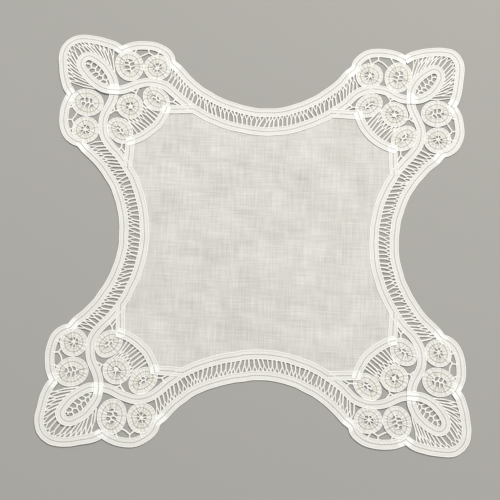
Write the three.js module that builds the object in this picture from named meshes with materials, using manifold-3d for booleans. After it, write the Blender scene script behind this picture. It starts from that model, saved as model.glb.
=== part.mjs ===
// A square tape-lace doily with a linen centre, lying flat. Millimetres, +Z up.
// The origin is the middle of the linen's underside, and the sides run along X and Y.
import * as THREE from 'three';
import { mergeVertices } from 'three/addons/utils/BufferGeometryUtils.js';
import Module from 'manifold-3d';

const wasm = await Module();
wasm.setup();

// Driving dimensions. The plan positions below are those of a doily 406 mm (16 in) across.
const acrossTips = 406;
const tapeWidth = 9;
const tapeThickness = 0.6;
const linenThickness = 0.3;
const threadWidth = 0.8;
const seam = 0.3;
const sideReach = 130.5;
const sideBowRadius = 108;
const insertionWidth = 10.6;
const stitchPitch = 4.2;
const stitchGap = 0.5;
const stitchThickness = 0.4;
const stitchLift = 0.1;
const knotReach = 147;
const cornerBowRadius = 50;
const cornerBowReach = 108;
const roundHole = 4.6;
const centreHole = 4.2;

// Half of the tip tape's middle line, from its seam to the point on the diagonal.
const tipLine = [
  [141.5, 188.6],
  [148.5, 193],
  [157, 195.8],
  [168, 197.7],
  [178.5, 198.5],
  [187.5, 196.9],
  [193.2, 193.2],
];
// The middle line of one scallop beside a tip, from the end of the side's bow to its seam.
const scallopLine = [
  [91.6, 178],
  [93.6, 183.8],
  [98.4, 189.6],
  [106.5, 194],
  [116.5, 195.6],
  [128, 194.4],
  [137, 191.2],
  [143.5, 187],
];
// The inner tape's middle line from the side's bow to the crossing on the diagonal.
const shoulderLine = [
  [88, 146.6],
  [96.5, 153.2],
  [106, 156.7],
  [114.5, 157],
  [123.5, 154.7],
  [132, 150.4],
  [139, 147.8],
  [146, 147],
];
// Half of the loop inside a tip, from the crossing to the diagonal.
const loopLine = [
  [156, 147.8],
  [164, 151.4],
  [171, 157],
  [176.6, 164.2],
  [179.6, 171.4],
  [177.4, 177.4],
];
// Where a short straight tape leaves the inner tape and where it meets the linen's corner bow.
const spandrelLine = [[68.5, 130.5], [99, 129.1]];
// Ovals of one half corner: place, half sizes of the hole, and turn of the long one in degrees.
const ovals = {
  side_round: { x: 105.4, y: 173.6, long: roundHole, short: roundHole, turn: 0 },
  shoulder_oval: { x: 133.2, y: 173.2, long: 7.2, short: 4.8, turn: 74 },
  inner_oval: { x: 105.6, y: 139.6, long: 5.8, short: 2.6, turn: 40 },
};
const centreRound = { x: 131, y: 131, long: centreHole, short: centreHole, turn: 0 };

const scale = acrossTips / 406;
const halfWidth = tapeWidth / 2;
const bowCentre = sideReach + sideBowRadius;
const innerBowRadius = sideBowRadius + insertionWidth + tapeWidth;

const scaled = (points) => points.map(([x, y]) => new THREE.Vector2(x * scale, y * scale));
const mirrored = (points) => points.map((p) => new THREE.Vector2(p.y, p.x)).reverse();
const flipped = (points) => points.map((p) => new THREE.Vector2(-p.x, p.y)).reverse();

function onBow(radius, degrees) {
  const angle = THREE.MathUtils.degToRad(degrees);
  const point = new THREE.Vector2(radius * Math.sin(angle), bowCentre - radius * Math.cos(angle));
  return point.multiplyScalar(scale);
}

function bow(radius, from, to, steps) {
  return Array.from({ length: steps + 1 }, (_, i) => onBow(radius, from + ((to - from) * i) / steps));
}

function smooth(points, steps) {
  const flat = points.map((p) => new THREE.Vector3(p.x, p.y, 0));
  const curve = new THREE.CatmullRomCurve3(flat, false, 'centripetal');
  return curve.getSpacedPoints(steps).map((p) => new THREE.Vector2(p.x, p.y));
}

function toManifold(geometry) {
  geometry.deleteAttribute('normal');
  geometry.deleteAttribute('uv');
  const merged = mergeVertices(geometry, 1e-4);
  const vertProperties = new Float32Array(merged.attributes.position.array);
  const triVerts = new Uint32Array(merged.index.array);
  return new wasm.Manifold(new wasm.Mesh({ numProp: 3, vertProperties, triVerts }));
}

function slab(outline, thickness, hole) {
  const shape = new THREE.Shape(outline);
  if (hole) {
    shape.holes.push(new THREE.Path(hole));
  }
  return toManifold(new THREE.ExtrudeGeometry(shape, { depth: thickness, bevelEnabled: false }));
}

// A line moved sideways, to its left when the distance is positive.
function beside(points, distance) {
  return points.map((point, i) => {
    const before = points[Math.max(i - 1, 0)];
    const after = points[Math.min(i + 1, points.length - 1)];
    const along = after.clone().sub(before).normalize();
    return new THREE.Vector2(point.x - along.y * distance, point.y + along.x * distance);
  });
}

// Both edges of a tape along its middle line, up to the given point of it.
function outline(points, half, end) {
  return [...beside(points, half).slice(0, end), ...beside(points, -half).slice(0, end).reverse()];
}

function tape(points, end = points.length) {
  return slab(outline(points, halfWidth * scale, end), tapeThickness);
}

// The same shape grown by the seam and made taller, for cutting its neighbours.
function cutter(points, end = points.length) {
  const solid = slab(outline(points, halfWidth * scale + seam, end), tapeThickness + 2);
  return solid.translate([0, 0, -1]);
}

const acrossDiagonal = (solid) => solid.mirror([1, -1, 0]);
const acrossSide = (solid) => solid.mirror([1, 0, 0]);

function ellipse(oval, grow, segments) {
  const angle = THREE.MathUtils.degToRad(oval.turn);
  return Array.from({ length: segments }, (_, i) => {
    const t = (2 * Math.PI * i) / segments;
    const along = (oval.long + grow) * Math.cos(t);
    const aside = (oval.short + grow) * Math.sin(t);
    const x = oval.x + along * Math.cos(angle) - aside * Math.sin(angle);
    const y = oval.y + along * Math.sin(angle) + aside * Math.cos(angle);
    return new THREE.Vector2(x, y).multiplyScalar(scale);
  });
}

function ring(oval) {
  return slab(ellipse(oval, tapeWidth, 24), tapeThickness, ellipse(oval, 0, 14).reverse());
}

function ringCutter(oval) {
  const solid = slab(ellipse(oval, tapeWidth + seam / scale, 24), tapeThickness + 2);
  return solid.translate([0, 0, -1]);
}

function turned(oval) {
  return { x: oval.y, y: oval.x, long: oval.long, short: oval.short, turn: 90 - oval.turn };
}

function without(solid, cutters) {
  const cut = cutters.reduce((left, tool) => left.subtract(tool), solid);
  const bodies = cut.decompose();
  return bodies.sort((a, b) => b.volume() - a.volume())[0];
}

// One thread zigzagging between two lines of equal length lists, tips just clear of both.
function zigzag(inner, outer) {
  const left = [];
  const right = [];
  inner.forEach((low, i) => {
    const high = outer[i];
    const width = high.distanceTo(low) - 2 * stitchGap;
    const step = i ? outer[i - 1].clone().add(inner[i - 1]).sub(high).sub(low).length() / 2 : stitchPitch / 2;
    const slope = step / Math.hypot(step, width);
    const depth = Math.min(0.45, threadWidth / (width * slope));
    const at = (v) => low.clone().lerp(high, (stitchGap + v * width) / (width + 2 * stitchGap));
    left.push(at(i % 2 ? depth : 1));
    right.push(at(i % 2 ? 0 : 1 - depth));
  });
  return slab(left.concat(right.reverse()), stitchThickness).translate([0, 0, stitchLift]);
}

function spaced(points, steps) {
  const flat = points.map((p) => new THREE.Vector3(p.x, p.y, 0));
  return new THREE.CatmullRomCurve3(flat).getSpacedPoints(steps).map((p) => new THREE.Vector2(p.x, p.y));
}

// Middle lines of the tapes, for the side at +Y and the corner at +X +Y.
const scallop = scaled(scallopLine);
const bowEnd = 52;
const outerHalf = bow(sideBowRadius, 0, bowEnd, 10);
const outerRight = outerHalf.concat(smooth([outerHalf.at(-1), ...scallop], 14).slice(1));
const outerSideLine = flipped(outerRight.slice(1)).concat(outerRight);

const tipHalf = smooth(scaled(tipLine), 12);
const tipTapeLine = tipHalf.concat(mirrored(tipHalf).slice(1));

const innerHalf = bow(innerBowRadius, 0, 40, 8);
const innerRight = innerHalf.concat(smooth([innerHalf.at(-1), ...scaled(shoulderLine)], 14).slice(1));
const innerSideLine = flipped(innerRight.slice(1)).concat(innerRight);

const knot = knotReach * scale;
const knotEdge = new THREE.Vector2(knot - halfWidth * scale, knot);
const fromKnot = [new THREE.Vector2(knot, knot), ...scaled(loopLine)];
const loopMiddle = smooth([...fromKnot, ...mirrored(fromKnot).slice(1)], 26);
const loopPath = [knotEdge, ...loopMiddle];

const bowMiddle = cornerBowReach + cornerBowRadius * Math.SQRT1_2;
const cornerBow = Array.from({ length: 13 }, (_, i) => {
  const angle = THREE.MathUtils.degToRad(193 + (64 * i) / 12);
  const x = bowMiddle + cornerBowRadius * Math.cos(angle);
  const y = bowMiddle + cornerBowRadius * Math.sin(angle);
  return new THREE.Vector2(x, y).multiplyScalar(scale);
});
const spandrel = scaled(spandrelLine);

// Tape pieces of one side and one corner.
const tipTape = tape(tipTapeLine);
const tipCutter = cutter(tipTapeLine);
const outerSide = without(tape(outerSideLine), [tipCutter, acrossSide(tipCutter)]);
const loopHalf = tape(loopPath, 15);
const loop = loopHalf.add(acrossDiagonal(loopHalf));
const loopCutter = cutter(loopPath, 15).add(acrossDiagonal(cutter(loopPath, 15)));
const innerSide = without(tape(innerSideLine), [loopCutter, acrossSide(loopCutter)]);
const innerCutter = cutter(innerSideLine).add(acrossDiagonal(cutter(innerSideLine)));
const outerCutter = cutter(outerSideLine).add(acrossDiagonal(cutter(outerSideLine)));
const straights = tape(spandrel).add(acrossDiagonal(tape(spandrel)));
const cornerTape = without(tape(cornerBow).add(straights), [innerCutter]);
const straightCutter = cutter(spandrel).add(acrossDiagonal(cutter(spandrel)));
const cornerCutter = cutter(cornerBow).add(straightCutter);

// Rings of gathered tape in one corner: a on its +Y half, b on its +X half.
const tapeCutters = [innerCutter, outerCutter, tipCutter, loopCutter, cornerCutter];
const corner = {};
const ringTools = [];
const addRing = (name, oval) => {
  corner[name] = without(ring(oval), [...tapeCutters, ...ringTools]);
  ringTools.push(ringCutter(oval));
};
addRing('centre_round', centreRound);
for (const [name, oval] of Object.entries(ovals)) {
  addRing(`${name}_a`, oval);
  addRing(`${name}_b`, turned(oval));
}

// Thread insertions: one along each side, one round each tip loop.
const insertionHalf = 50.8;
const middleRadius = sideBowRadius + halfWidth + insertionWidth / 2;
const insertionLength = 2 * THREE.MathUtils.degToRad(insertionHalf) * middleRadius * scale;
const sideTurns = 2 * Math.round(insertionLength / stitchPitch);
const sideZigzag = zigzag(
  bow(sideBowRadius + halfWidth + insertionWidth, -insertionHalf, insertionHalf, sideTurns),
  bow(sideBowRadius + halfWidth, -insertionHalf, insertionHalf, sideTurns),
);
const sideStitches = without(sideZigzag, [innerCutter, outerCutter]);
const loopSide = beside(loopMiddle, -halfWidth * scale).slice(7, -7);
const tipSide = beside(tipTapeLine, -halfWidth * scale).slice(2, -2).reverse();
const tipTurns = 44;
const tipZigzag = zigzag(spaced(loopSide, tipTurns), spaced(tipSide, tipTurns));
const tipStitches = without(tipZigzag, [loopCutter, tipCutter, ...ringTools]);

// The linen fills the middle up to the inner tapes and the corner bows.
const quarter = bow(innerBowRadius, -31, 31, 18).concat(cornerBow.map((p) => p.clone()));
const linenLine = [];
for (let i = 0; i < 4; i += 1) {
  const angle = (-Math.PI / 2) * i;
  linenLine.push(...quarter.map((p) => p.clone().rotateAround(new THREE.Vector2(), angle)));
}
const around = (solid) => [0, 1, 2, 3].map((i) => solid.rotate([0, 0, -90 * i]));
const linen = without(slab(linenLine, linenThickness), [
  ...around(cutter(innerSideLine)),
  ...around(cornerCutter),
]);

const group = new THREE.Group();
group.name = 'tape_lace_doily';

const cloths = {
  tape: { color: 0xefeee8, roughness: 0.85 },
  linen: { color: 0xdcd9cf, roughness: 0.9 },
  thread: { color: 0xf1efe9, roughness: 0.8 },
};

function addNode(name, solid, cloth) {
  const mesh = solid.getMesh();
  const geometry = new THREE.BufferGeometry();
  geometry.setAttribute('position', new THREE.BufferAttribute(mesh.vertProperties, 3));
  geometry.setIndex(new THREE.BufferAttribute(mesh.triVerts, 1));
  geometry.computeVertexNormals();
  const material = new THREE.MeshStandardMaterial({ name: cloth, ...cloths[cloth], metalness: 0 });
  const node = new THREE.Mesh(geometry, material);
  node.name = name;
  group.add(node);
}

addNode('linen_centre', linen, 'linen');
const sides = ['back', 'right', 'front', 'left'];
const corners = ['back_right', 'front_right', 'front_left', 'back_left'];
sides.forEach((side, i) => {
  addNode(`outer_tape_${side}`, outerSide.rotate([0, 0, -90 * i]), 'tape');
  addNode(`inner_tape_${side}`, innerSide.rotate([0, 0, -90 * i]), 'tape');
  addNode(`side_stitches_${side}`, sideStitches.rotate([0, 0, -90 * i]), 'thread');
});
corners.forEach((place, i) => {
  addNode(`tip_tape_${place}`, tipTape.rotate([0, 0, -90 * i]), 'tape');
  addNode(`tip_loop_${place}`, loop.rotate([0, 0, -90 * i]), 'tape');
  addNode(`corner_bow_${place}`, cornerTape.rotate([0, 0, -90 * i]), 'tape');
  addNode(`tip_stitches_${place}`, tipStitches.rotate([0, 0, -90 * i]), 'thread');
  for (const [name, solid] of Object.entries(corner)) {
    addNode(`${name}_${place}`, solid.rotate([0, 0, -90 * i]), 'tape');
  }
});

export default group;
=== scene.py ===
import bpy
import math
import random
import numpy as np
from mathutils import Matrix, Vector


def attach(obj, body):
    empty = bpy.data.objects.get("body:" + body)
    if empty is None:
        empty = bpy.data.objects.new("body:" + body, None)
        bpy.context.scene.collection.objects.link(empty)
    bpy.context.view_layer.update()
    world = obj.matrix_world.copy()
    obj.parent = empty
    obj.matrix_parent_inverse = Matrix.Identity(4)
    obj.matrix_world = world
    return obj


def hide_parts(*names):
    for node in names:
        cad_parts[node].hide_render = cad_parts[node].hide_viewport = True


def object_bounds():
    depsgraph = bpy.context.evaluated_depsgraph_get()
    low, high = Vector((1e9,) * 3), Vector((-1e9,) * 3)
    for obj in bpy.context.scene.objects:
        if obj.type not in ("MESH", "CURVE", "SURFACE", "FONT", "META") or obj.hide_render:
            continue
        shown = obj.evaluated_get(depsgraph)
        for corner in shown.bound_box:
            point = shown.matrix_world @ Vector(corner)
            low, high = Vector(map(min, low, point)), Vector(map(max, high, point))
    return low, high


# A square tape-lace doily: linen centre, bowed sides and four looped corners.
# Plan positions are millimetres on the finished doily, and metre turns them into metres.
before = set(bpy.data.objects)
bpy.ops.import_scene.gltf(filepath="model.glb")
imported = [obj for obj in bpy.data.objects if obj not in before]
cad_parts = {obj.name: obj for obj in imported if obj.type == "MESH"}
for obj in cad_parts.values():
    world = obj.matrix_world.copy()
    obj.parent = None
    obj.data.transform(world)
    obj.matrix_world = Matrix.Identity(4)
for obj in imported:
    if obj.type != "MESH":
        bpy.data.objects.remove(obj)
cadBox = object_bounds()
acrossTips = 406  # mm
metre = (cadBox[1][0] - cadBox[0][0]) / acrossTips

sides = ["back", "right", "front", "left"]
corners = ["back_right", "front_right", "front_left", "back_left"]

cameraView = {
    "place": (-0.0185, -0.2643, 1.1296),
    "turn": (12.637, -0.856, 1.556),  # degrees
    "lens": 86.4,  # mm on a 36 mm sensor
}
light = {
    "keyPlace": (0.95, 1.9, 3.0),
    "keySize": 1.5,
    "keyPower": 133,
    "fillPlace": (-1.8, -1.2, 3.3),
    "fillSize": 3.0,
    "fillPower": 17,
    "sky": 0.33,
    "skyColour": "#f4f6f8",
}


def srgb(hexColour):
    channels = [int(hexColour[i:i + 2], 16) / 255 for i in (1, 3, 5)]
    linear = [c / 12.92 if c <= 0.04045 else ((c + 0.055) / 1.055) ** 2.4 for c in channels]
    return (*linear, 1)


def pointAt(item, target):
    aim = -(item.location - item.location.__class__(target))
    item.rotation_euler = aim.to_track_quat("-Z", "Y").to_euler()


def setUpView():
    bpy.ops.object.camera_add(location=cameraView["place"])
    camera = bpy.context.object
    camera.name = "doily_camera"
    camera.rotation_euler = [math.radians(a) for a in cameraView["turn"]]
    camera.data.lens = cameraView["lens"]
    camera.data.sensor_width = 36
    camera.data.clip_end = 20
    bpy.context.scene.camera = camera
    for kind in ("key", "fill"):
        bpy.ops.object.light_add(type="AREA", location=light[kind + "Place"])
        lamp = bpy.context.object
        lamp.name = kind + "_light"
        lamp.data.size = light[kind + "Size"]
        lamp.data.energy = light[kind + "Power"]
        pointAt(lamp, (0, 0, 0))
    world = bpy.data.worlds.new("soft_studio")
    bpy.context.scene.world = world
    world.use_nodes = True
    world.node_tree.nodes["Background"].inputs["Color"].default_value = srgb(light["skyColour"])
    world.node_tree.nodes["Background"].inputs["Strength"].default_value = light["sky"]
    bpy.context.scene.view_settings.view_transform = "Standard"


def addNode(tree, kind, settings=None, links=None):
    node = tree.nodes.new(kind)
    for name, value in (settings or {}).items():
        if isinstance(name, str) and hasattr(node, name):
            setattr(node, name, value)
        else:
            node.inputs[name].default_value = value
    for name, source in (links or {}).items():
        tree.links.new(source, node.inputs[name])
    return node


def newMaterial(name):
    material = bpy.data.materials.new(name)
    material.use_nodes = True
    tree = material.node_tree
    shader = tree.nodes["Principled BSDF"]
    return material, tree, shader


tapeLook = {
    "white": "#eae8e1",
    "shade": "#d9d6cd",
    # painted highlight along the raised corded edges
    "cordHighlight": "#f3f2ed",
    # painted shade in the low groove just inside each raised cord
    "grooveShade": "#c6c2b8",
    # painted shade in the valleys of the gathers and folds
    "crease": "#b9b4a8",
    # painted shade standing for the holes of the open middle row, which are not cut
    "holeShade": "#7f796e",
    "doubled": "#f5f4ef",
    "aged": "#e8e4d9",
    "ribPitch": 1.15,  # mm; real warp threads are 0.35 mm apart, too fine to show
    "pickPitch": 0.95,  # mm; real weft picks are 0.5 mm apart, too fine to show
    "openPitch": 1.7,  # mm between the holes of the open middle row
    "openWidth": 0.8,
}


def makeTapeMaterial():
    # bleached woven cotton tape: matt, ribbed lengthwise, with a row of tiny holes along its middle drawn as painted
    # shade
    material, tree, shader = newMaterial("bleached_cotton_tape")
    uv = addNode(tree, "ShaderNodeUVMap", {"uv_map": "UVMap"}).outputs[0]
    split = addNode(tree, "ShaderNodeSeparateXYZ", None, {0: uv})
    along, across = split.outputs[0], split.outputs[1]
    place = addNode(tree, "ShaderNodeTexCoord").outputs["Object"]
    slub = addNode(tree, "ShaderNodeTexNoise", {"Scale": 0.9, "Detail": 3.0}, {"Vector": uv}).outputs["Fac"]
    blotch = addNode(tree, "ShaderNodeTexNoise", {"Scale": 75.0, "Detail": 3.0}, {"Vector": place}).outputs["Fac"]
    fuzz = addNode(tree, "ShaderNodeTexNoise", {"Scale": 900.0, "Detail": 2.0}, {"Vector": place}).outputs["Fac"]

    # lengthwise ribs, crosswise picks, and how far a point is from the middle of the tape
    turns = 2 * math.pi
    ribTurn = addNode(tree, "ShaderNodeMath", {"operation": "MULTIPLY", 1: turns / tapeLook["ribPitch"]}, {0: across})
    ribs = addNode(tree, "ShaderNodeMath", {"operation": "SINE"}, {0: ribTurn.outputs[0]})
    wander = addNode(tree, "ShaderNodeMath", {"operation": "MULTIPLY", 1: 2.4}, {0: slub})
    pickTurn = addNode(tree, "ShaderNodeMath", {"operation": "MULTIPLY_ADD", 1: turns / tapeLook["pickPitch"]},
                       {0: along, 2: wander.outputs[0]})
    picks = addNode(tree, "ShaderNodeMath", {"operation": "SINE"}, {0: pickTurn.outputs[0]})
    fromMiddle = addNode(tree, "ShaderNodeMath", {"operation": "SUBTRACT", 1: half}, {0: across})
    middle = addNode(tree, "ShaderNodeMath", {"operation": "ABSOLUTE"}, {0: fromMiddle.outputs[0]}).outputs[0]
    inRow = addNode(tree, "ShaderNodeMath", {"operation": "LESS_THAN", 1: tapeLook["openWidth"] / 2}, {0: middle})
    beat = addNode(tree, "ShaderNodeMath", {"operation": "DIVIDE", 1: tapeLook["openPitch"]}, {0: along})
    beatShare = addNode(tree, "ShaderNodeMath", {"operation": "FRACT"}, {0: beat.outputs[0]})
    inBeat = addNode(tree, "ShaderNodeMath", {"operation": "LESS_THAN", 1: 0.7}, {0: beatShare.outputs[0]})
    hole = addNode(tree, "ShaderNodeMath", {"operation": "MULTIPLY"}, {0: inRow.outputs[0], 1: inBeat.outputs[0]})
    fromGroove = addNode(tree, "ShaderNodeMath", {"operation": "SUBTRACT", 1: 3.25}, {0: middle})
    nearGroove = addNode(tree, "ShaderNodeMath", {"operation": "ABSOLUTE"}, {0: fromGroove.outputs[0]})

    # each layer of colour over the one before: age, a painted highlight on the raised cords, painted shade in the
    # groove inside each cord, painted shade in the valleys of the folds, the whiter doubled patches, and painted
    # shade standing for the holes of the open row
    # where the painted highlight of the raised cords lies
    cordHighlightShare = addNode(tree, "ShaderNodeMapRange", {"From Min": 3.3, "From Max": 3.9}, {"Value": middle})
    # where the painted shade of the groove lies
    grooveShadeShare = addNode(tree, "ShaderNodeMapRange", {"From Min": 0.5, "From Max": 0.1, "To Max": 0.6},
                       {"Value": nearGroove.outputs[0]})
    # the holes are not cut: painted shade marks them
    holeShadeShare = addNode(tree, "ShaderNodeMath", {"operation": "MULTIPLY", 1: 0.8}, {0: hole.outputs[0]})
    aged = addNode(tree, "ShaderNodeAttribute", {"attribute_name": "aged"})
    doubled = addNode(tree, "ShaderNodeAttribute", {"attribute_name": "doubled"})
    # how much painted shade lies in the valleys of the gathers
    foldShadeShare = addNode(tree, "ShaderNodeAttribute", {"attribute_name": "foldShadeShare"})
    cloth = addNode(tree, "ShaderNodeMix", {"data_type": "RGBA", "A": srgb(tapeLook["shade"]),
                                            "B": srgb(tapeLook["white"])}, {"Factor": blotch})
    for colour, share in (("aged", aged.outputs["Fac"]), ("cordHighlight", cordHighlightShare.outputs[0]), ("grooveShade", grooveShadeShare.outputs[0]),
                          ("crease", foldShadeShare.outputs["Fac"]), ("doubled", doubled.outputs["Fac"]),
                          ("holeShade", holeShadeShare.outputs[0])):
        cloth = addNode(tree, "ShaderNodeMix", {"data_type": "RGBA", "B": srgb(tapeLook[colour])},
                        {"Factor": share, "A": cloth.outputs["Result"]})
    tree.links.new(cloth.outputs["Result"], shader.inputs["Base Color"])

    ribHeight = addNode(tree, "ShaderNodeMath", {"operation": "MULTIPLY", 1: 0.5}, {0: ribs.outputs[0]})
    weave = addNode(tree, "ShaderNodeMath", {"operation": "MULTIPLY_ADD", 1: 0.35},
                    {0: picks.outputs[0], 2: ribHeight.outputs[0]})
    relief = addNode(tree, "ShaderNodeMath", {"operation": "MULTIPLY_ADD", 1: 0.8}, {0: fuzz, 2: weave.outputs[0]})
    bump = addNode(tree, "ShaderNodeBump", {"Strength": 0.5, "Distance": 0.00012}, {"Height": relief.outputs[0]})
    tree.links.new(bump.outputs[0], shader.inputs["Normal"])
    rough = addNode(tree, "ShaderNodeMapRange", {"To Min": 0.78, "To Max": 0.95}, {"Value": fuzz})
    tree.links.new(rough.outputs[0], shader.inputs["Roughness"])
    shader.inputs["IOR"].default_value = 1.5
    shader.inputs["Sheen Weight"].default_value = 0.12
    shader.inputs["Sheen Roughness"].default_value = 0.5
    return material


linenLook = {
    "light": "#dfdcd5",
    "dark": "#bebbb2",
    "yarnPitch": 0.9,  # mm; real linen yarns are 0.45 mm apart, drawn twice as coarse
    "slubLength": 26,  # mm, how long a thick stretch of one yarn runs
    "mottling": 0.85,  # share of the soft blotches beside that of the yarns
}


def makeLinenMaterial():
    # plain-weave linen: greyer than the tape, with thick and thin yarns crossing
    material, tree, shader = newMaterial("plain_weave_linen")
    place = addNode(tree, "ShaderNodeTexCoord").outputs["Object"]
    pitch, length = linenLook["yarnPitch"] / 1000, linenLook["slubLength"] / 1000
    yarns = []
    for scale in ((1 / length, 1 / pitch / 1.6, 1), (1 / pitch / 1.6, 1 / length, 1)):
        stretched = addNode(tree, "ShaderNodeMapping", {"Scale": scale}, {"Vector": place})
        yarn = addNode(tree, "ShaderNodeTexNoise", {"Scale": 1.0, "Detail": 4.0}, {"Vector": stretched.outputs[0]})
        yarns.append(yarn.outputs["Fac"])
    cross = addNode(tree, "ShaderNodeMath", {"operation": "ADD"}, {0: yarns[0], 1: yarns[1]}).outputs[0]
    blotch = addNode(tree, "ShaderNodeTexNoise", {"Scale": 28.0, "Detail": 4.0}, {"Vector": place})
    tone = addNode(tree, "ShaderNodeMath", {"operation": "MULTIPLY_ADD", 1: linenLook["mottling"]},
                   {0: blotch.outputs["Fac"], 2: cross})
    spread = addNode(tree, "ShaderNodeMapRange", {"From Min": 1.02, "From Max": 1.83}, {"Value": tone.outputs[0]})
    cloth = addNode(tree, "ShaderNodeMix", {"data_type": "RGBA", "A": srgb(linenLook["dark"]),
                                            "B": srgb(linenLook["light"])}, {"Factor": spread.outputs[0]})
    tree.links.new(cloth.outputs["Result"], shader.inputs["Base Color"])

    split = addNode(tree, "ShaderNodeSeparateXYZ", None, {0: place})
    waves = []
    for axis in (0, 1):
        phase = addNode(tree, "ShaderNodeMath", {"operation": "MULTIPLY", 1: 2 * math.pi / pitch},
                        {0: split.outputs[axis]})
        waves.append(addNode(tree, "ShaderNodeMath", {"operation": "SINE"}, {0: phase.outputs[0]}).outputs[0])
    weave = addNode(tree, "ShaderNodeMath", {"operation": "MULTIPLY"}, {0: waves[0], 1: waves[1]})
    relief = addNode(tree, "ShaderNodeMath", {"operation": "MULTIPLY_ADD", 1: 1.6}, {0: cross, 2: weave.outputs[0]})
    bump = addNode(tree, "ShaderNodeBump", {"Strength": 0.45, "Distance": 0.00012}, {"Height": relief.outputs[0]})
    tree.links.new(bump.outputs[0], shader.inputs["Normal"])
    rough = addNode(tree, "ShaderNodeMapRange", {"To Min": 0.74, "To Max": 0.92}, {"Value": yarns[0]})
    tree.links.new(rough.outputs[0], shader.inputs["Roughness"])
    shader.inputs["IOR"].default_value = 1.5
    shader.inputs["Sheen Weight"].default_value = 0.1
    shader.inputs["Sheen Roughness"].default_value = 0.45
    return material


threadLook = {"white": "#f6f4ee", "shade": "#e2ded3", "twist": 0.55}  # twist in mm between two plies


def makeThreadMaterial():
    # mercerised cotton thread: smoother than the tape, with a faint ply twist
    material, tree, shader = newMaterial("twisted_cotton_thread")
    place = addNode(tree, "ShaderNodeTexCoord").outputs["Object"]
    ply = addNode(tree, "ShaderNodeTexNoise", {"Scale": 1000 / threadLook["twist"], "Detail": 1.0}, {"Vector": place})
    wear = addNode(tree, "ShaderNodeTexNoise", {"Scale": 160.0, "Detail": 2.0}, {"Vector": place})
    cloth = addNode(tree, "ShaderNodeMix", {"data_type": "RGBA"}, {"Factor": wear.outputs["Fac"]})
    cloth.inputs["A"].default_value = srgb(threadLook["shade"])
    cloth.inputs["B"].default_value = srgb(threadLook["white"])
    tree.links.new(cloth.outputs["Result"], shader.inputs["Base Color"])
    bump = addNode(tree, "ShaderNodeBump", {"Strength": 0.5, "Distance": 0.0001}, {"Height": ply.outputs["Fac"]})
    tree.links.new(bump.outputs[0], shader.inputs["Normal"])
    rough = addNode(tree, "ShaderNodeMapRange", {"To Min": 0.6, "To Max": 0.8}, {"Value": ply.outputs["Fac"]})
    tree.links.new(rough.outputs[0], shader.inputs["Roughness"])
    shader.inputs["IOR"].default_value = 1.53
    shader.inputs["Sheen Weight"].default_value = 0.08
    return material


layout = {
    "tapeWidth": 9.0,
    "sideReach": 130.5,
    "sideBowRadius": 108.0,
    "insertionWidth": 10.6,
    "knotReach": 147.0,
    "cornerBowRadius": 50.0,
    "cornerBowReach": 108.0,
    "cornerBowStart": 193,  # degrees
    "cornerBowSpan": 64,
    "outerBowHalf": 52,  # degrees each way from the middle of a side
    "innerBowHalf": 40,
    "linenBowHalf": 31,
}
tipLine = [(141.5, 188.6), (148.5, 193), (157, 195.8), (168, 197.7), (178.5, 198.5), (187.5, 196.9), (193.2, 193.2)]
scallopLine = [(91.6, 178), (93.6, 183.8), (98.4, 189.6), (106.5, 194),
               (116.5, 195.6), (128, 194.4), (137, 191.2), (143.5, 187)]
shoulderLine = [(88, 146.6), (96.5, 153.2), (106, 156.7), (114.5, 157),
                (123.5, 154.7), (132, 150.4), (139, 147.8), (146, 147)]
loopLine = [(156, 147.8), (164, 151.4), (171, 157), (176.6, 164.2), (179.6, 171.4), (177.4, 177.4)]
bowCentre = layout["sideReach"] + layout["sideBowRadius"]
innerBowRadius = layout["sideBowRadius"] + layout["insertionWidth"] + layout["tapeWidth"]
cornerCentre = layout["cornerBowReach"] + layout["cornerBowRadius"] * math.sqrt(0.5)
half = layout["tapeWidth"] / 2
spandrelLine = [(68.5, 130.5), (99, 129.1)]

# centre, hole half sizes, turn of the long one in degrees, how high the tape lies, count of gathers
rounds = {
    "centre_round": {"x": 131, "y": 131, "long": 4.2, "short": 4.2, "turn": 0, "lift": 0.72, "folds": 18},
    "side_round": {"x": 105.4, "y": 173.6, "long": 4.6, "short": 4.6, "turn": 0, "lift": 0.66, "folds": 18},
    "shoulder_oval": {"x": 133.2, "y": 173.2, "long": 7.2, "short": 4.8, "turn": 74, "lift": 0.6, "folds": 21},
    "inner_oval": {"x": 105.6, "y": 139.6, "long": 5.8, "short": 2.6, "turn": 40, "lift": 0.54, "folds": 18},
}


def turnPlan(points, quarter):
    # clockwise by that many quarter turns, seen from above
    angle = -math.pi / 2 * quarter
    points = np.array(points, float)
    x, y = points[:, 0].copy(), points[:, 1].copy()
    points[:, 0] = x * math.cos(angle) - y * math.sin(angle)
    points[:, 1] = x * math.sin(angle) + y * math.cos(angle)
    return points


def acrossDiagonal(points):
    points = np.array(points, float)
    points[:, [0, 1]] = points[:, [1, 0]]
    return points


def acrossSide(points):
    points = np.array(points, float)
    points[:, 0] *= -1
    return points


def bow(radius, start, end, steps):
    angles = np.radians(np.linspace(start, end, steps + 1))
    return np.c_[radius * np.sin(angles), bowCentre - radius * np.cos(angles)]


def cornerArc(steps):
    angles = np.radians(layout["cornerBowStart"] + layout["cornerBowSpan"] * np.arange(steps + 1) / steps)
    return cornerCentre + layout["cornerBowRadius"] * np.c_[np.cos(angles), np.sin(angles)]


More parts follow.
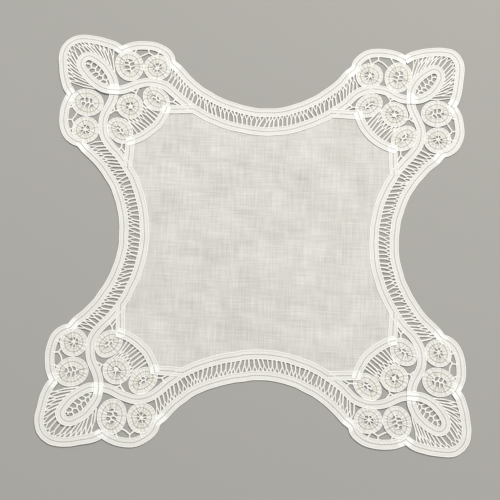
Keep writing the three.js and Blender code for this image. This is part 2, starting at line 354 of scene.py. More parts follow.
def smoothLine(points, step):
    # centripetal curve through the points, evenly spaced
    points = [np.array(p, float) for p in points]
    control = [2 * points[0] - points[1]] + points + [2 * points[-1] - points[-2]]
    out = []
    for p0, p1, p2, p3 in zip(control, control[1:], control[2:], control[3:]):
        t0 = 0.0
        t1 = t0 + math.sqrt(np.linalg.norm(p1 - p0)) + 1e-9
        t2 = t1 + math.sqrt(np.linalg.norm(p2 - p1)) + 1e-9
        t3 = t2 + math.sqrt(np.linalg.norm(p3 - p2)) + 1e-9
        for t in np.linspace(t1, t2, 12, endpoint=False):
            a1 = (t1 - t) / (t1 - t0) * p0 + (t - t0) / (t1 - t0) * p1
            a2 = (t2 - t) / (t2 - t1) * p1 + (t - t1) / (t2 - t1) * p2
            a3 = (t3 - t) / (t3 - t2) * p2 + (t - t2) / (t3 - t2) * p3
            b1 = (t2 - t) / (t2 - t0) * a1 + (t - t0) / (t2 - t0) * a2
            b2 = (t3 - t) / (t3 - t1) * a2 + (t - t1) / (t3 - t1) * a3
            out.append((t2 - t) / (t2 - t1) * b1 + (t - t1) / (t2 - t1) * b2)
    out.append(points[-1])
    return evenly(np.array(out), step)


def evenly(points, step=None, count=None):
    points = np.array(points, float)
    lengths = np.r_[0, np.cumsum(np.linalg.norm(np.diff(points, axis=0), axis=1))]
    if count is None:
        count = max(2, int(round(lengths[-1] / step)) + 1)
    at = np.linspace(0, lengths[-1], count)
    return np.stack([np.interp(at, lengths, points[:, i]) for i in range(points.shape[1])], 1)


def leftOf(line, closed=False):
    ahead = np.roll(line, -1, 0) if closed else np.r_[line[1:], line[-1:]]
    behind = np.roll(line, 1, 0) if closed else np.r_[line[:1], line[:-1]]
    along = ahead - behind
    along /= np.linalg.norm(along, axis=1)[:, None] + 1e-12
    return np.c_[-along[:, 1], along[:, 0]]


def beside(line, distance):
    return line + leftOf(line) * distance


def softNoise(values, pitch, seed):
    # a wandering number about 0, near -1 to 1
    pick = random.Random(seed)
    total = np.zeros_like(np.asarray(values, float))
    for k in range(4):
        total += math.pow(0.75, k) * np.sin(values / pitch * (0.8 + 0.9 * k) * 2 + pick.uniform(0, 6.28))
    return total / 2.2


swells = {"height": 0.42, "shortest": 55.0, "longest": 150.0, "count": 7}


def swell(x, y):
    # how far the cloth lifts off the table, mm
    pick = random.Random(41)
    total = np.zeros_like(np.asarray(x, float))
    for _ in range(swells["count"]):
        angle = pick.uniform(0, math.pi)
        wave = 2 * math.pi / pick.uniform(swells["shortest"], swells["longest"])
        total += np.sin((x * math.cos(angle) + y * math.sin(angle)) * wave + pick.uniform(0, 6.28))
    return swells["height"] * (0.5 + 0.5 * np.tanh(total * 0.5))


# hand work is never quite square: a place, how far it is pulled in x and y, and how far round that is felt, mm
pulls = [
    ((-178, 180), (-2.5, 2.8), 34),
    ((14, 131), (0, -2.0), 46),
    ((194, 166), (-2.8, -0.5), 26),
    ((-192, -105), (1.4, 0.1), 24),
    ((-195, -176), (-2.3, -0.6), 24),
    ((-118, -194), (0.0, -2.2), 24),
    ((-24, -131), (0.4, -2.4), 36),
    ((112, -190), (1.0, 2.8), 28),
    ((194, -102), (-2.0, -0.7), 24),
]


def outOfTrue(x, y):
    right, back = np.zeros_like(x), np.zeros_like(y)
    for (centreX, centreY), (pullX, pullY), reach in pulls:
        felt = np.exp(-((x - centreX) ** 2 + (y - centreY) ** 2) / reach ** 2)
        right, back = right + pullX * felt, back + pullY * felt
    return np.c_[x + right, y + back]


def deselect():
    if bpy.context.object and bpy.context.object.mode != "OBJECT":
        bpy.ops.object.mode_set(mode="OBJECT")
    bpy.ops.object.select_all(action="DESELECT")


def takeUp(piece):
    deselect()
    piece.select_set(True)
    bpy.context.view_layer.objects.active = piece


def finishPiece(piece, material, replaced=None):
    piece.data.materials.clear()
    piece.data.materials.append(material)
    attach(piece, "root")
    if replaced:
        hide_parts(replaced)


tapeCut = {
    # distance from the middle and height there, mm: corded edges, shallow ribs, a sunk open row
    "profile": [(4.5, 0.0), (4.38, 0.17), (4.1, 0.26), (3.82, 0.2), (3.55, 0.0), (3.1, -0.02), (2.3, 0.04),
                (1.5, 0.0), (0.75, 0.04), (0.32, -0.04), (0.0, -0.13)],
    "thickness": 0.32,
    "step": 1.1,
    "foldPitch": 2.1,
    "foldHeight": 0.22,
    "gatherHeight": 0.85,
    "handWander": 0.35,  # mm a tape strays from its drawn line
}


def wovenStrip(name, line, rises, closed=False, acrossBy=None, folds=None, seed=1, aged=0.0, patches=()):
    # a strip of tape laid along a line; rises gives its height at each point of the line
    sidesOf = [(-d, h) for d, h in tapeCut["profile"]] + [(d, h) for d, h in reversed(tapeCut["profile"][:-1])]
    columns, rows = len(line) - 1, len(sidesOf) - 1
    deselect()
    bpy.ops.mesh.primitive_grid_add(x_subdivisions=columns, y_subdivisions=rows, size=1, calc_uvs=True)
    strip = bpy.context.object
    strip.name = strip.data.name = name
    left = leftOf(line)
    lengths = np.r_[0, np.cumsum(np.linalg.norm(np.diff(line, axis=0), axis=1))]
    if closed:
        left[0] = left[-1] = leftOf(line[:-1], True)[0]
    else:
        ease = np.clip(np.minimum(lengths, lengths[-1] - lengths) / 12, 0, 1)
        line = line + left * (tapeCut["handWander"] * ease * softNoise(lengths, 17.0, seed + 3))[:, None]
    bend = np.gradient(np.unwrap(np.arctan2(left[:, 1], left[:, 0])), lengths + 1e-9)
    bend = np.convolve(np.pad(bend, 4, mode="edge"), np.ones(9) / 9, "valid")
    count = (columns + 1) * (rows + 1)
    places = np.zeros((count, 3))
    along = np.zeros(count)
    across = np.zeros(count)
    foldShades = np.zeros(count)
    wander = softNoise(lengths, 9.0, seed)
    if closed:
        wander = wander * np.sin(np.pi * lengths / lengths[-1])
    for r, (offset, height) in enumerate(sidesOf):
        at = slice(r * (columns + 1), (r + 1) * (columns + 1))
        if acrossBy is None:
            xy = line + left * offset
        else:
            xy = acrossBy((offset + half) / (2 * half))
        z = rises + height
        if closed:
            # gathered hardest round the hole
            phase = 2 * math.pi * folds * lengths / lengths[-1] + 2.6 * wander
            reach = np.clip(1.05 - 0.85 * (offset + half) / (2 * half), 0, 1)
            rippled = np.sin(phase)
        else:
            # eased along the inner edge of a bend
            phase = 2 * math.pi * lengths / tapeCut["foldPitch"] + 1.5 * wander
            inward = offset / half * np.sign(bend)
            reach = np.clip(0.5 + 0.5 * inward, 0, 1) ** 1.5 * np.clip(np.abs(bend) * 22, 0, 1)
            rippled = np.sin(phase) + 0.35 * np.sin(phase * 0.5 + 1.3)
        if closed:
            # uneven gathers: each one stands to its own height
            turnBy = 2 * math.pi * lengths / lengths[-1]
            uneven = 0.6 + 0.4 * np.sin(5 * turnBy + seed) * np.cos(3 * turnBy + 2 * seed)
            uneven = uneven + 0.3 * np.sin(11 * turnBy + seed)
            z = z + tapeCut["gatherHeight"] * reach * rippled * uneven
            # painted shade in the valleys of the gathers, darkest where a gather dips lowest
            foldShades[at] = np.clip(-1.1 * reach * rippled * uneven, 0, 0.85)
        else:
            z = z + tapeCut["foldHeight"] * reach * rippled * (0.75 + 0.35 * softNoise(lengths, 5.0, seed + 9))
        places[at, :2] = outOfTrue(xy[:, 0], xy[:, 1])
        places[at, 2] = np.maximum(z, tapeCut["thickness"] + 0.04) + swell(xy[:, 0], xy[:, 1])
        along[at] = lengths
        across[at] = offset + half
    data = strip.data
    whiter = np.zeros(count)
    for x, y, radius, amount in patches:
        gap = np.hypot(places[:, 0] - x, places[:, 1] - y)
        whiter = np.maximum(whiter, amount * np.clip((radius - gap) / 2.0, 0, 1))
    data.vertices.foreach_set("co", (places * [metre, metre, metre]).ravel())
    corner = np.zeros(len(data.loops), np.int32)
    data.loops.foreach_get("vertex_index", corner)
    data.uv_layers[0].data.foreach_set("uv", np.c_[along[corner], across[corner]].ravel())
    for word, values in (("doubled", whiter), ("aged", np.full(count, aged)), ("foldShadeShare", foldShades)):
        data.attributes.new(word, "FLOAT", "POINT").data.foreach_set("value", values)
    data.update()
    if closed:
        bpy.ops.object.mode_set(mode="EDIT")
        bpy.ops.mesh.select_all(action="SELECT")
        bpy.ops.mesh.remove_doubles(threshold=0.00002)
        bpy.ops.object.mode_set(mode="OBJECT")
    wall = strip.modifiers.new("thickness", "SOLIDIFY")
    wall.thickness = tapeCut["thickness"] * metre
    wall.offset = -1
    bpy.ops.object.modifier_apply(modifier=wall.name)
    bpy.ops.object.shade_smooth_by_angle(angle=math.radians(60))
    return strip


def joinStrips(strips):
    takeUp(strips[0])
    for strip in strips[1:]:
        strip.select_set(True)
    bpy.ops.object.join()
    return bpy.context.object


def layThreads(name, strands, width):
    # sewing thread: each strand is a short round cord, all of one piece in one mesh
    curve = bpy.data.curves.new(name, "CURVE")
    curve.dimensions = "3D"
    curve.bevel_depth = width / 2 * metre
    curve.bevel_resolution = 1
    curve.use_fill_caps = True
    for points, size in strands:
        points = np.array(points, float)
        spline = curve.splines.new("POLY")
        spline.points.add(len(points) - 1)
        z = points[:, 2] + swell(points[:, 0], points[:, 1])
        flat = np.c_[points[:, 0] * metre, points[:, 1] * metre, z * metre, np.ones(len(points))]
        spline.points.foreach_set("co", flat.ravel())
        spline.points.foreach_set("radius", [size] * len(points))
    piece = bpy.data.objects.new(name, curve)
    bpy.context.scene.collection.objects.link(piece)
    takeUp(piece)
    bpy.ops.object.convert(target="MESH")
    piece = bpy.context.object
    piece.data.name = name
    places = np.zeros(len(piece.data.vertices) * 3)
    piece.data.vertices.foreach_get("co", places)
    places = places.reshape(-1, 3) / metre
    level = stitches["height"] + swell(places[:, 0], places[:, 1])
    places[:, 2] = np.maximum(level + (places[:, 2] - level) * stitches["pressed"], 0.03)
    places[:, :2] = outOfTrue(places[:, 0], places[:, 1])
    piece.data.vertices.foreach_set("co", (places * metre).ravel())
    bpy.ops.object.mode_set(mode="EDIT")
    bpy.ops.mesh.select_all(action="SELECT")
    bpy.ops.mesh.remove_doubles(threshold=0.000002)
    bpy.ops.mesh.normals_make_consistent(inside=False)
    bpy.ops.object.mode_set(mode="OBJECT")
    bpy.ops.object.shade_smooth_by_angle(angle=math.radians(70))
    return piece


linenCut = {"grid": 1.6, "thickness": 0.28, "lift": 0.3, "wrinkle": 0.7, "crease": 0.28}


def linenOutline():
    reach = layout["linenBowHalf"]
    quarter = np.r_[bow(innerBowRadius, -reach, reach, 40), cornerArc(24)]
    return evenly(np.concatenate([turnPlan(quarter, i) for i in range(4)] + [quarter[:1]]), 0.8)[:-1]


def wrinkles(x, y):
    pick = random.Random(7)
    total = np.zeros_like(x)
    for _ in range(16):
        angle = pick.uniform(0, math.pi)
        wave = 2 * math.pi / pick.uniform(14, 60)
        bendBy = pick.uniform(2, 9) * np.sin((x * math.sin(angle) - y * math.cos(angle)) / pick.uniform(18, 50))
        total += np.sin((x * math.cos(angle) + y * math.sin(angle) + bendBy) * wave + pick.uniform(0, 6.28))
    return total / 5


def makeLinen(material):
    outline = linenOutline()
    reach = np.abs(outline).max()
    count = int(2 * reach / linenCut["grid"])
    deselect()
    bpy.ops.mesh.primitive_grid_add(x_subdivisions=count, y_subdivisions=count, size=2 * reach, calc_uvs=True)
    cloth = bpy.context.object
    cloth.name = cloth.data.name = "linen_cloth"
    data = cloth.data
    places = np.zeros(len(data.vertices) * 3)
    data.vertices.foreach_get("co", places)
    places = places.reshape(-1, 3)
    nearest = np.zeros(len(places), int)
    gap = np.full(len(places), 1e9)
    for i in range(0, len(outline), 50):
        block = outline[i:i + 50]
        away = np.hypot(places[:, None, 0] - block[None, :, 0], places[:, None, 1] - block[None, :, 1])
        closest = away.argmin(1)
        better = away[np.arange(len(places)), closest] < gap
        nearest[better] = closest[better] + i
        gap = np.minimum(gap, away.min(1))
    inside = np.zeros(len(places), bool)
    after = np.roll(outline, -1, 0)
    for (x1, y1), (x2, y2) in zip(outline, after):
        crosses = (y1 > places[:, 1]) != (y2 > places[:, 1])
        with np.errstate(divide="ignore", invalid="ignore"):
            where = (x2 - x1) * (places[:, 1] - y1) / (y2 - y1) + x1
        inside ^= crosses & (places[:, 0] < where)
    keep = inside | (gap < linenCut["grid"] * 0.45)
    snap = keep & (gap < linenCut["grid"] * 0.55)
    places[snap, :2] = outline[nearest[snap]]
    x, y = places[:, 0], places[:, 1]
    calm = np.clip(gap / 14, 0, 1)
    fromCrease = ((x + 84) * 0.62 + (y - 92) * 0.78) / 0.9
    crease = np.exp(-fromCrease ** 2) * np.clip(1 - np.hypot(x + 70, y - 80) / 34, 0, 1)
    lift = linenCut["lift"] + calm * linenCut["wrinkle"] * (1 + wrinkles(x, y)) * 0.5 + linenCut["crease"] * crease
    places[:, 2] = np.maximum(lift, linenCut["thickness"] + 0.04) + swell(x, y)
    places[:, :2] = outOfTrue(x, y)
    data.vertices.foreach_set("co", (places * metre).ravel())
    data.vertices.foreach_set("select", ~keep)
    data.update()
    bpy.ops.object.mode_set(mode="EDIT")
    bpy.ops.mesh.select_mode(type="VERT")
    bpy.ops.object.mode_set(mode="OBJECT")
    data.vertices.foreach_set("select", ~keep)
    data.edges.foreach_set("select", np.zeros(len(data.edges), bool))
    data.polygons.foreach_set("select", np.zeros(len(data.polygons), bool))
    bpy.ops.object.mode_set(mode="EDIT")
    bpy.ops.mesh.delete(type="VERT")
    bpy.ops.mesh.select_all(action="SELECT")
    bpy.ops.mesh.remove_doubles(threshold=0.00002)
    bpy.ops.object.mode_set(mode="OBJECT")
    wall = cloth.modifiers.new("thickness", "SOLIDIFY")
    wall.thickness = linenCut["thickness"] * metre
    wall.offset = -1
    bpy.ops.object.modifier_apply(modifier=wall.name)
    bpy.ops.object.shade_smooth_by_angle(angle=math.radians(60))
    finishPiece(cloth, material, "linen_centre")
    return cloth


def sideLines():
    outerBow = bow(layout["sideBowRadius"], 0, layout["outerBowHalf"], 14)
    innerBow = bow(innerBowRadius, 0, layout["innerBowHalf"], 12)
    outerRight = smoothLine(list(outerBow) + scallopLine, tapeCut["step"])
    innerRight = smoothLine(list(innerBow) + shoulderLine, tapeCut["step"])
    return [np.r_[acrossSide(right[1:])[::-1], right] for right in (outerRight, innerRight)]


# height of the top of each tape where the cloth lies flat on the table, mm; a loop climbs over its own start
tapeLift = {
    "outer_tape": 0.62,
    "inner_tape": 0.78,
    "tip": 0.98,
    "loopStart": 1.05,
    "loopEnd": 1.5,
    "bow": 1.12,
    "straight": 0.95,
}

# where tapes lie double and look whiter: place, radius in mm and how much whiter
doubledSpots = {
    "outer_tape": [(88.5, 175.5, 7.5, 0.8), (141, 189, 8, 0.7), (-88.5, 175.5, 7.5, 0.8), (-141, 189, 8, 0.7)],
    "inner_tape": [],
    "tip": [(143, 188, 7, 0.9), (188, 143, 7, 0.9)],
    "loop": [(147, 147, 8, 0.9)],
    "bow": [(95, 130, 6, 0.8), (130, 95, 6, 0.8)],
    "straight": [(97, 129, 6, 0.8), (129, 97, 6, 0.8)],
}


def spotsAt(kind, quarter):
    return [(*turnPlan([(x, y)], quarter)[0], radius, amount) for x, y, radius, amount in doubledSpots[kind]]


def layTape(name, kind, line, quarter, seed):
    rises = np.full(len(line), tapeLift[kind])
    return wovenStrip(name, turnPlan(line, quarter), rises, seed=seed, patches=spotsAt(kind, quarter))


def sideTapes(material):
    outerLine, innerLine = sideLines()
    for i, side in enumerate(sides):
        for kind, line in (("outer_tape", outerLine), ("inner_tape", innerLine)):
            strip = layTape(f"{kind}_{side}_woven", kind, line, i, 11 + i)
            finishPiece(strip, material, f"{kind}_{side}")


def tipPath(step):
    tipHalf = smoothLine(tipLine, step)
    return np.r_[tipHalf, acrossDiagonal(tipHalf[:-1])[::-1]]


def loopPath(start, step):
    # round the tip from the knot, its second half the first seen across the diagonal
    knot = layout["knotReach"]
    loopHalf = start + [(knot, knot)] + loopLine
    return smoothLine(loopHalf + [(y, x) for x, y in reversed(loopHalf[:-1])], step)


def cornerTapes(material):
    tip = tipPath(tapeCut["step"])
    knot = layout["knotReach"]
    loop = loopPath([(knot - half, knot)], tapeCut["step"])
    bowArc = cornerArc(52)
    straight = evenly(spandrelLine, tapeCut["step"])
    for i, place in enumerate(corners):
        seed = 31 + 7 * i
        strip = layTape(f"tip_tape_{place}_woven", "tip", tip, i, seed)
        finishPiece(strip, material, f"tip_tape_{place}")
        climb = np.linspace(tapeLift["loopStart"], tapeLift["loopEnd"], len(loop))
        strip = wovenStrip(f"tip_loop_{place}_woven", turnPlan(loop, i), climb, seed=seed + 1,
                           patches=spotsAt("loop", i))
        finishPiece(strip, material, f"tip_loop_{place}")
        parts = [layTape(f"corner_bow_{place}_woven", "bow", bowArc, i, seed + 2)]
        for line in (straight, acrossDiagonal(straight)[::-1]):
            parts.append(layTape("straight", "straight", line, i, seed + 3))
        finishPiece(joinStrips(parts), material, f"corner_bow_{place}")


def ringLine(oval, grow, count):
    angle = math.radians(oval["turn"])
    t = -np.linspace(0, 2 * math.pi, count + 1)  # clockwise, so that its left side is the outer edge
    along, aside = (oval["long"] + grow) * np.cos(t), (oval["short"] + grow) * np.sin(t)
    x = oval["x"] + along * math.cos(angle) - aside * math.sin(angle)
    y = oval["y"] + along * math.sin(angle) + aside * math.cos(angle)
    return np.c_[x, y]


def mirroredOval(oval):
    return dict(oval, x=oval["y"], y=oval["x"], turn=90 - oval["turn"])


# rounds sewn a little off their drawn place, mm, in the corner's own directions
sewnOff = {
    "side_round_a_back_right": (0.4, -3.0),
    "shoulder_oval_a_back_right": (1.6, -3.2),
    "side_round_b_front_right": (-1.0, 0.6),
    "inner_oval_b_back_right": (0.8, 0.8),
    "side_round_b_back_left": (-1.2, 0.4),
}


def eachRound(place):
    for name, oval in rounds.items():
        both = [(name, oval)] if name == "centre_round" else [(f"{name}_a", oval), (f"{name}_b", mirroredOval(oval))]
        for fullName, one in both:
            right, back = sewnOff.get(f"{fullName}_{place}", (0, 0))
            yield name, fullName, dict(one, x=one["x"] + right, y=one["y"] + back)


def gatheredRounds(material):
    for i, place in enumerate(corners):
        for k, (kind, name, oval) in enumerate(eachRound(place)):
            pick = random.Random(100 * i + k)
            count = 6 * oval["folds"] + 12
            middle = turnPlan(ringLine(oval, half, count), i)
            loose = [pick.uniform(-0.3, 0.3) for _ in range(3)]

            def edge(share, oval=oval, count=count, i=i, loose=loose):
                grow = layout["tapeWidth"] * share
                line = ringLine(oval, grow, count)
                t = -np.linspace(0, 2 * math.pi, count + 1)
                pull = 0.9 * loose[1] * np.cos(2 * t + 6 * loose[0]) + 0.7 * loose[2] * np.sin(3 * t)
                slack = loose[0] * np.sin(2 * t) + loose[1] * np.cos(3 * t) + loose[2] * np.sin(5 * t)
                pull = pull + (1 - share) * slack
                centre = np.array([oval["x"], oval["y"]])
                away = line - centre
                away /= np.linalg.norm(away, axis=1)[:, None]
                return turnPlan(line + away * pull[:, None], i)

            strip = wovenStrip(f"{name}_{place}_gathered", middle, np.full(count + 1, oval["lift"]), closed=True,
                               acrossBy=edge, folds=oval["folds"], seed=50 + 10 * i + k,
                               aged=pick.choice([0.0, 0.1, 0.25, 0.4]))
            finishPiece(strip, material, f"{name}_{place}")


stitches = {
    "thread": 1.22,
    "pitch": 4.5,
    "height": 0.55,
    "tuck": 0.7,  # how far each end runs under the tape
    "pressed": 0.6,  # the ironed bars are that much lower than they are wide
    "foot": 1.28,  # an overcast bar is that much thicker than a single thread
    "fork": 0.98,
    "gapBar": 1.3,
}
# bars in a row, how far across each one forks, and how far its ends run under, mm
nets = {
    "side": {"joint": 0.54},
    "tip": {"bars": 18, "joint": 0.5, "jointSpread": 0.1, "tuck": 0.9},
    "fan": {"bars": 8, "joint": 0.62},
}
# how unevenly they are sewn: shares of the gap between two bars, and of the way across
netHand = {
    "slowLean": 0.5,
    "quickLean": 0.3,
    "ownLean": 0.16,
    "slowLevel": 0.07,
    "ownLevel": 0.06,
    "ownPlace": 0.14,
    "ownReach": 0.1,
    "samples": 800,  # along each edge that the bars run between
}


def net(inner, outer, periods, joint, pick, tuck=stitches["tuck"]):
    # two rows of legs: one bar from the inner line, forked into a pair that reaches the outer line
    samples = netHand["samples"]
    inner, outer = evenly(inner, count=samples + 1), evenly(outer, count=samples + 1)
    z = stitches["height"]

    def point(t, across):
        k = np.clip(t, 0, 1) * samples
        low, high = int(k), min(int(k) + 1, samples)
        a = inner[low] + (inner[high] - inner[low]) * (k - low)
        b = outer[low] + (outer[high] - outer[low]) * (k - low)
        gap = np.linalg.norm(b - a)
        share = (across * (gap + 2 * tuck) - tuck) / gap
        return a + (b - a) * share

    phases = [pick.uniform(0, 6.28) for _ in range(4)]
    strands = []
    for i in range(periods):
        lean = netHand["slowLean"] * math.sin(i * 0.31 + phases[0]) + netHand["quickLean"] * math.sin(
            i * 0.83 + phases[1]) + pick.uniform(-netHand["ownLean"], netHand["ownLean"])
        level = joint + netHand["slowLevel"] * math.sin(i * 0.55 + phases[2])
        level = level + pick.uniform(-netHand["ownLevel"], netHand["ownLevel"])
        middle = i + 0.5 + pick.uniform(-netHand["ownPlace"], netHand["ownPlace"])
        foot, top = (middle - lean * 0.4) / periods, (middle + lean * 0.4) / periods
        bar = [point(foot, 0), point((foot + top) / 2, level * 0.5), point(top, level)]
        strands.append((thread3d(bar, [z, z + 0.12, z + 0.08]), stitches["foot"] * pick.uniform(0.85, 1.1)))
        for side in (-1, 1):
            reach = 0.5 + pick.uniform(-netHand["ownReach"], netHand["ownReach"]) + side * lean * 0.35
            far = top + side * reach / periods
            if 0 <= far <= 1:
                nearby = point(top + side * reach * 0.4 / periods, level + (1 - level) * 0.3)
                path = [point(top, level - 0.04), nearby, point(far, 1)]
                strands.append((thread3d(path, [z + 0.1, z + 0.05, z]), stitches["fork"] * pick.uniform(0.9, 1.1)))
    return strands


def thread3d(path, heights, step=1.1):
    line = np.c_[np.array(path, float), np.array(heights, float)]
    if len(line) < 3:
        return evenly(line, count=3)
    smooth = smoothLine(line, step)
    return smooth if len(smooth) > 2 else evenly(smooth, count=3)


def placedStrands(strands, quarter):
    return [(turnPlan(points, quarter), size) for points, size in strands]


def sideStitches(material):
    outerLine, innerLine = sideLines()
    outer, inner = beside(outerLine, -half), beside(innerLine, half)
    outer = outer[(np.abs(outer[:, 0]) < 92) & (outer[:, 1] < 179)]
    inner = inner[np.abs(inner[:, 0]) < 97]
    length = np.linalg.norm(np.diff((evenly(inner, count=200) + evenly(outer, count=200)) / 2, axis=0), axis=1).sum()
    for i, side in enumerate(sides):
        pick = random.Random(200 + i)
        strands = net(inner, outer, round(length / stitches["pitch"]), nets["side"]["joint"], pick)
        piece = layThreads(f"side_stitches_{side}_sewn", placedStrands(strands, i), stitches["thread"])
        finishPiece(piece, material, f"side_stitches_{side}")


def tipStitches(material):
    outer = beside(tipPath(1.0), -half)[6:-6]
    inner = beside(loopPath([], 1.0), -half)[::-1]
    inner = inner[16:-16]
    made = nets["tip"]
    for i, place in enumerate(corners):
        pick = random.Random(300 + i)
        joint = made["joint"] + made["jointSpread"] * pick.random()
        strands = net(inner, outer, made["bars"], joint, pick, tuck=made["tuck"])
        piece = layThreads(f"tip_stitches_{place}_sewn", placedStrands(strands, i), stitches["thread"])
        finishPiece(piece, material, f"tip_stitches_{place}")


# wheels: spokes, radius of the darned middle and how far it sits off centre; spines: gap at each end, and knots
fillings = {
    "centre_round": {"spokes": 5, "hub": 2.1, "astray": 1.0},
    "side_round": {"spokes": 7, "hub": 1.5, "astray": 0.7},
    "shoulder_oval": {"atStart": 1.6, "atEnd": 2.2, "knots": 6},
    "inner_oval": {"atStart": 2.0, "atEnd": 2.6, "knots": 4},
    "tip_loop": {"atStart": 2.5, "atEnd": 3, "knots": 11},
}
# how thick each thread is beside a single one, and how far the ends run under the tape, mm
spineThread = {"core": 1.3, "bar": 1.15, "coreTuck": 1.6, "barTuck": 0.8}
wheelThread = {"spoke": 0.9, "swirl": 0.95, "tuck": 0.9, "turns": 2.3}


def spineFilling(edge, start, end, knots, pick, place):
    # a zigzag spine along a hole, each of its knots tied to the nearer side by a slanting bar
    z = stitches["height"]
    stops = np.linspace(start, end, knots)
    gap = stops[1] - stops[0]
    first = pick.choice([-1, 1])
    spine = [place(start - spineThread["coreTuck"], 0)]
    strands = []
    for k, at in enumerate(stops):
        side = first if k % 2 else -first
        at = at + pick.uniform(-0.12, 0.12) * gap
        off = side * edge(at) * pick.uniform(0.1, 0.26)
        spine.append(place(at, off))
        lean = gap * pick.uniform(0.25, 0.8)
        reach = side * (edge(at + lean) + spineThread["barTuck"])
        bar = [place(at, off), place(at + lean * 0.4, (off + reach) * 0.52), place(at + lean, reach)]
        strands.append((thread3d(bar, [z + 0.08, z + 0.06, z]), spineThread["bar"]))
    spine.append(place(end + spineThread["coreTuck"], 0))
    strands.append((thread3d(spine, [z + 0.1] * len(spine)), spineThread["core"]))
    return strands


def wheelFilling(oval, spokes, hub, astray, pick):
    # spokes across a round hole, darned together in the middle
    z = stitches["height"]
    centre = np.array([oval["x"] + pick.uniform(-astray, astray), oval["y"] + pick.uniform(-astray, astray)])
    strands = []
    first = pick.uniform(0, 6.28)
    for k in range(spokes):
        angle = first + 2 * math.pi * (k + pick.uniform(-0.2, 0.2)) / spokes
        out = np.array([math.cos(angle), math.sin(angle)])
        rim = np.array([oval["x"], oval["y"]]) + out * (oval["long"] + wheelThread["tuck"])
        spoke = [centre + out * 0.3, (centre + rim) / 2 + [pick.uniform(-0.25, 0.25)] * 2, rim]
        strands.append((thread3d(spoke, [z + 0.15, z + 0.08, z]), wheelThread["spoke"]))
    turns = np.linspace(0, 2 * math.pi * wheelThread["turns"], 30)
    reach = 0.35 + (hub - 0.35) * turns / turns[-1]
    swirl = centre + reach[:, None] * np.c_[np.cos(turns + first), np.sin(turns + first)]
    strands.append((np.c_[swirl, np.full(30, z + 0.2)], wheelThread["swirl"]))
    return strands


def holePlacer(oval):
    # gives the function from a place along and across a hole to its place in plan
    angle = math.radians(oval["turn"])
    axis, aside = np.array([math.cos(angle), math.sin(angle)]), np.array([-math.sin(angle), math.cos(angle)])
    centre = np.array([oval["x"], oval["y"]])

    def place(a, b):
        return centre + axis * a + aside * b

    return place


def holeWidth(oval):
    # gives the function from a place along a hole to half its width there
    def width(a):
        return oval["short"] * math.sqrt(max(0.05, 1 - (a / oval["long"]) ** 2))

    return width


def roundFillings(material):
    for i, place in enumerate(corners):
        pick = random.Random(400 + i)
        strands = []
        for kind, name, oval in eachRound(place):
            made = fillings[kind]
            if "spokes" in made:
                strands += wheelFilling(oval, made["spokes"], made["hub"], made["astray"], pick)
            else:
                start, end = -oval["long"] + made["atStart"], oval["long"] - made["atEnd"]
                strands += spineFilling(holeWidth(oval), start, end, made["knots"], pick, holePlacer(oval))
        piece = layThreads(f"round_fillings_{place}", placedStrands(strands, i), stitches["thread"])
        finishPiece(piece, material)


def loopFillings(material):
    edge = beside(loopPath([], 1.0), half)
    edge = edge[:len(edge) // 2]
    along, aside = (edge[:, 0] + edge[:, 1]) / math.sqrt(2), (edge[:, 0] - edge[:, 1]) / math.sqrt(2)
    good = aside > 0.3
    along, aside = along[good], aside[good]
    order = np.argsort(along)
    along, aside = along[order], aside[order]

    def width(a):
        return float(np.interp(a, along, aside))

    def onDiagonal(a, b):
        return np.array([a - b, a + b]) / math.sqrt(2)

    made = fillings["tip_loop"]
    start, end = along[0] + made["atStart"], along[-1] - made["atEnd"]
    for i, place in enumerate(corners):
        pick = random.Random(500 + i)
        strands = spineFilling(width, start, end, made["knots"], pick, onDiagonal)
        piece = layThreads(f"loop_filling_{place}", placedStrands(strands, i), stitches["thread"])
        finishPiece(piece, material)


def cornerFans(material):
    # side by side between the corner bow and the centre round, in line with the corner's diagonal
    aside = np.linspace(-15, 15, 60)
    bowEdge = cornerCentre * math.sqrt(2) - np.sqrt((layout["cornerBowRadius"] - half) ** 2 - aside ** 2)
    inner = np.c_[bowEdge - aside, bowEdge + aside] / math.sqrt(2)
    centreRound = rounds["centre_round"]
    near = aside * 0.87
    toRim = np.sqrt(np.maximum((centreRound["long"] + 2 * half) ** 2 - near ** 2, 36))
    edge = centreRound["x"] * math.sqrt(2) - toRim
    outer = np.c_[edge - near, edge + near] / math.sqrt(2)
    for i, place in enumerate(corners):
        pick = random.Random(600 + i)
        strands = net(inner, outer, nets["fan"]["bars"], nets["fan"]["joint"], pick)
        piece = layThreads(f"fan_bars_{place}", placedStrands(strands, i), stitches["thread"])
        finishPiece(piece, material)


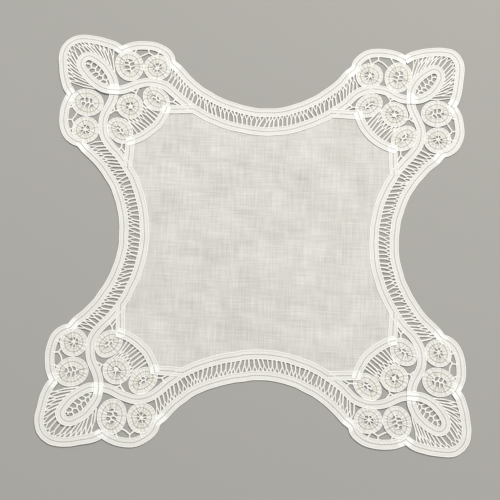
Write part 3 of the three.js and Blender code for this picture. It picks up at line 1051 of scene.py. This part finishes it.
# overcast bars in the small gaps of one half corner: the round that each ends on, and the points it passes
gapBars = [
    ("side_round", [(104.3, 191.8), (105.5, 188), (107.4, 184.8)]),
    (None, [(115.4, 192.4), (115.2, 187.6)]),
    ("side_round", [(115.2, 187.6), (110.6, 185), (106.4, 184.2)]),
    ("shoulder_oval", [(115.2, 187.6), (119.3, 184.6), (123.0, 183.2)]),
    ("shoulder_oval", [(127.2, 192.2), (127.8, 189.4), (130.0, 185.6)]),
    (None, [(88.6, 137.2), (84.6, 141.2)]),
    (None, [(88.6, 137.2), (82.5, 133.2)]),
    ("inner_oval", [(88.6, 137.2), (94.6, 136.8)]),
    (None, [(126.3, 145.6), (122.6, 151.2)]),
    ("centre_round", [(126.3, 145.6), (125.8, 141.2)]),
    (None, [(126.3, 145.6), (132.2, 147.6)]),
]


def smallGapBars(material):
    z = stitches["height"]
    for i, place in enumerate(corners):
        pick = random.Random(700 + i)
        strands = []
        for halfName in ("a", "b"):
            shifts = {}
            for roundName, bar in gapBars:
                moved = []
                for point in bar:
                    if point not in shifts:
                        shifts[point] = np.array([pick.uniform(-0.6, 0.6), pick.uniform(-0.6, 0.6)])
                    moved.append(np.array(point) + shifts[point])
                endShift = sewnOff.get(f"{roundName}_{halfName}_{place}", (0, 0))
                moved[-1] = moved[-1] + (endShift if halfName == "a" else endShift[::-1])
                line = thread3d(moved, [z + 0.05] * len(moved))
                strands.append((line if halfName == "a" else acrossDiagonal(line), stitches["gapBar"]))
        piece = layThreads(f"gap_bars_{place}", placedStrands(strands, i), stitches["thread"])
        finishPiece(piece, material)


table = {"size": 40.0, "colour": "#a29f99"}


def layTable():
    deselect()
    bpy.ops.mesh.primitive_plane_add(size=table["size"], location=(0, 0, 0))
    floor = bpy.context.object
    floor.name = "table_top"
    material, tree, shader = newMaterial("pale_matt_table")
    shader.inputs["Base Color"].default_value = srgb(table["colour"])
    shader.inputs["Roughness"].default_value = 0.85
    floor.data.materials.append(material)


setUpView()
layTable()
print("camera, light and table are set")
tapeMaterial, linenMaterial, threadMaterial = makeTapeMaterial(), makeLinenMaterial(), makeThreadMaterial()
makeLinen(linenMaterial)
sideTapes(tapeMaterial)
print("side tapes laid")
cornerTapes(tapeMaterial)
print("corner tapes laid")
gatheredRounds(tapeMaterial)
print("rounds gathered")
sideStitches(threadMaterial)
tipStitches(threadMaterial)
print("insertions stitched")
roundFillings(threadMaterial)
loopFillings(threadMaterial)
cornerFans(threadMaterial)
smallGapBars(threadMaterial)
print("fillings and bars sewn")
